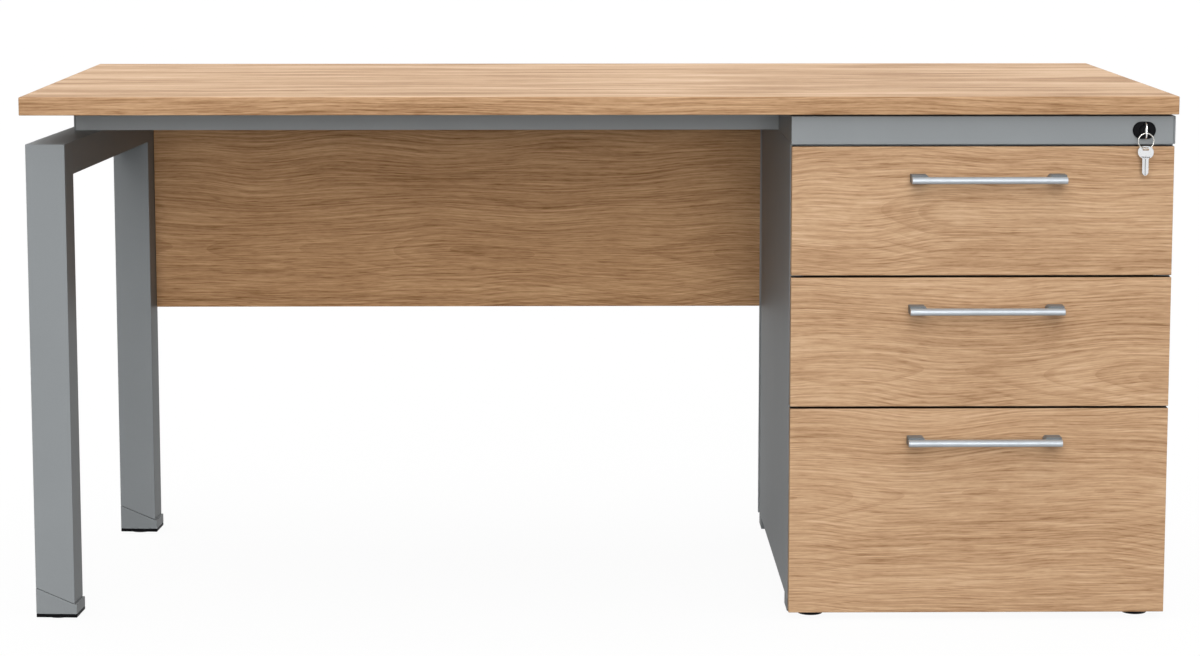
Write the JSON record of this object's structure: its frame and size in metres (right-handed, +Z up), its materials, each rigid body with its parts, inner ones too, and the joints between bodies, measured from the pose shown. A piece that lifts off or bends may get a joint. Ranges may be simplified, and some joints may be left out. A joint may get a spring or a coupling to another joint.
{
  "type": "pedestal desk",
  "caption": "Office desk with an oak laminate worktop on a grey steel frame, a goalpost leg frame on the left and a lockable drawer pedestal on the right.",
  "frame": {"origin": "on the floor under the middle of the desk's overall box", "axes": "+Z up, +X to the pedestal's side, front towards -Y"},
  "size_m": [1.6, 0.82, 0.74],
  "materials": {
    "oak_laminate": "light oak grain laminate, satin",
    "oak_edging": "oak printed edge band",
    "grey_steel": "fine textured grey powder coat",
    "grey_casting": "grey coated die casting",
    "grey_laminate": "grey melamine board",
    "grey_plastic": "moulded grey plastic",
    "drawer_board": "pale grey melamine board",
    "runner_steel": "bright zinc plated steel",
    "satin_aluminium": "satin anodised",
    "black_plastic": "moulded black plastic",
    "lock_zinc": "nickel plated die casting",
    "lock_black": "black coated die casting",
    "key_nickel": "nickel plated, polished",
    "zinc_fasteners": "zinc plated"
  },
  "bodies": {
    "desk": {"desktop": "oak_laminate", "desktop_edge_bands": "oak_edging", "front_beam": "grey_steel", "rear_beam": "grey_steel", "beam_end_caps": "grey_plastic", "leg_front_post": "grey_steel", "leg_rear_post": "grey_steel", "leg_top_beam": "grey_steel", "front_shoe": "grey_casting", "rear_shoe": "grey_casting", "leg_base_plugs": "black_plastic", "modesty_panel": "oak_laminate", "pedestal_left_side": "grey_laminate", "pedestal_right_side": "grey_laminate", "pedestal_back": "grey_laminate", "pedestal_bottom": "grey_laminate", "pedestal_top": "grey_laminate", "pedestal_foot_blocks": "grey_plastic", "fascia": "grey_laminate", "fascia_left_cheek": "grey_steel", "fascia_right_cheek": "grey_steel", "cabinet_runners": "runner_steel", "lock_rosette": "black_plastic", "lock_housing": "lock_zinc", "locking_bar_guides": "runner_steel", "frame_bolts": "zinc_fasteners", "panel_screws": "zinc_fasteners"},
    "drawer_1": {"drawer_1_front": "oak_laminate", "drawer_1_sides": "drawer_board", "drawer_1_back": "drawer_board", "drawer_1_bottom": "drawer_board", "drawer_1_runners": "runner_steel", "drawer_1_handle_bar": "satin_aluminium", "drawer_1_handle_posts": "grey_casting"},
    "drawer_2": {"drawer_2_front": "oak_laminate", "drawer_2_sides": "drawer_board", "drawer_2_back": "drawer_board", "drawer_2_bottom": "drawer_board", "drawer_2_runners": "runner_steel", "drawer_2_handle_bar": "satin_aluminium", "drawer_2_handle_posts": "grey_casting"},
    "drawer_3": {"drawer_3_front": "oak_laminate", "drawer_3_sides": "drawer_board", "drawer_3_back": "drawer_board", "drawer_3_bottom": "drawer_board", "drawer_3_runners": "runner_steel", "drawer_3_handle_bar": "satin_aluminium", "drawer_3_handle_posts": "grey_casting"},
    "lock_core": {"lock_plug": "lock_black", "lock_cam": "lock_zinc", "key_in_lock": "key_nickel"},
    "lock_bar": {"locking_bar": "runner_steel"},
    "ring": {"key_ring": "key_nickel"},
    "hanging_key": {"spare_key": "key_nickel"},
    "leg_front_glide_body": {"leg_front_glide": "black_plastic"},
    "leg_rear_glide_body": {"leg_rear_glide": "black_plastic"},
    "pedestal_front_left_glide_body": {"pedestal_front_left_glide": "black_plastic"},
    "pedestal_front_right_glide_body": {"pedestal_front_right_glide": "black_plastic"},
    "pedestal_rear_left_glide_body": {"pedestal_rear_left_glide": "black_plastic"},
    "pedestal_rear_right_glide_body": {"pedestal_rear_right_glide": "black_plastic"}
  },
  "joints": [
    {"name": "drawer_1_slide", "type": "slide", "parent": "desk", "child": "drawer_1", "axis": [0, -1, 0], "range_m": [0, 0.4]},
    {"name": "drawer_2_slide", "type": "slide", "parent": "desk", "child": "drawer_2", "axis": [0, -1, 0], "range_m": [0, 0.4]},
    {"name": "drawer_3_slide", "type": "slide", "parent": "desk", "child": "drawer_3", "axis": [0, -1, 0], "range_m": [0, 0.4]},
    {"name": "lock_turn", "type": "hinge", "parent": "desk", "child": "lock_core", "pos_m": [0.754, -0.376, 0.6925], "axis": [0, 1, 0], "range_deg": [0, 90]},
    {"name": "lock_bar_slide", "type": "slide", "parent": "desk", "child": "lock_bar", "axis": [0, 0, 1], "range_m": [0, 0.01414]},
    {"name": "key_ring_swing", "type": "hinge", "parent": "lock_core", "child": "ring", "pos_m": [0.754, -0.3935, 0.6893], "axis": [-1, 0, 0], "range_deg": [-5, 80]},
    {"name": "spare_key_swing", "type": "hinge", "parent": "ring", "child": "hanging_key", "pos_m": [0.754, -0.3935, 0.6677], "axis": [-1, 0, 0], "range_deg": [-5, 25]},
    {"name": "leg_front_glide_screw", "type": "slide", "parent": "desk", "child": "leg_front_glide_body", "axis": [0, 0, -1], "range_m": [0, 0.01]},
    {"name": "leg_rear_glide_screw", "type": "slide", "parent": "desk", "child": "leg_rear_glide_body", "axis": [0, 0, -1], "range_m": [0, 0.01]},
    {"name": "pedestal_front_left_glide_screw", "type": "slide", "parent": "desk", "child": "pedestal_front_left_glide_body", "axis": [0, 0, -1], "range_m": [0, 0.01]},
    {"name": "pedestal_front_right_glide_screw", "type": "slide", "parent": "desk", "child": "pedestal_front_right_glide_body", "axis": [0, 0, -1], "range_m": [0, 0.01]},
    {"name": "pedestal_rear_left_glide_screw", "type": "slide", "parent": "desk", "child": "pedestal_rear_left_glide_body", "axis": [0, 0, -1], "range_m": [0, 0.01]},
    {"name": "pedestal_rear_right_glide_screw", "type": "slide", "parent": "desk", "child": "pedestal_rear_right_glide_body", "axis": [0, 0, -1], "range_m": [0, 0.01]}
  ],
  "couplings": [
    {"joint": "lock_turn", "follows": "lock_bar_slide", "rad_per_m": 111.07}
  ]
}
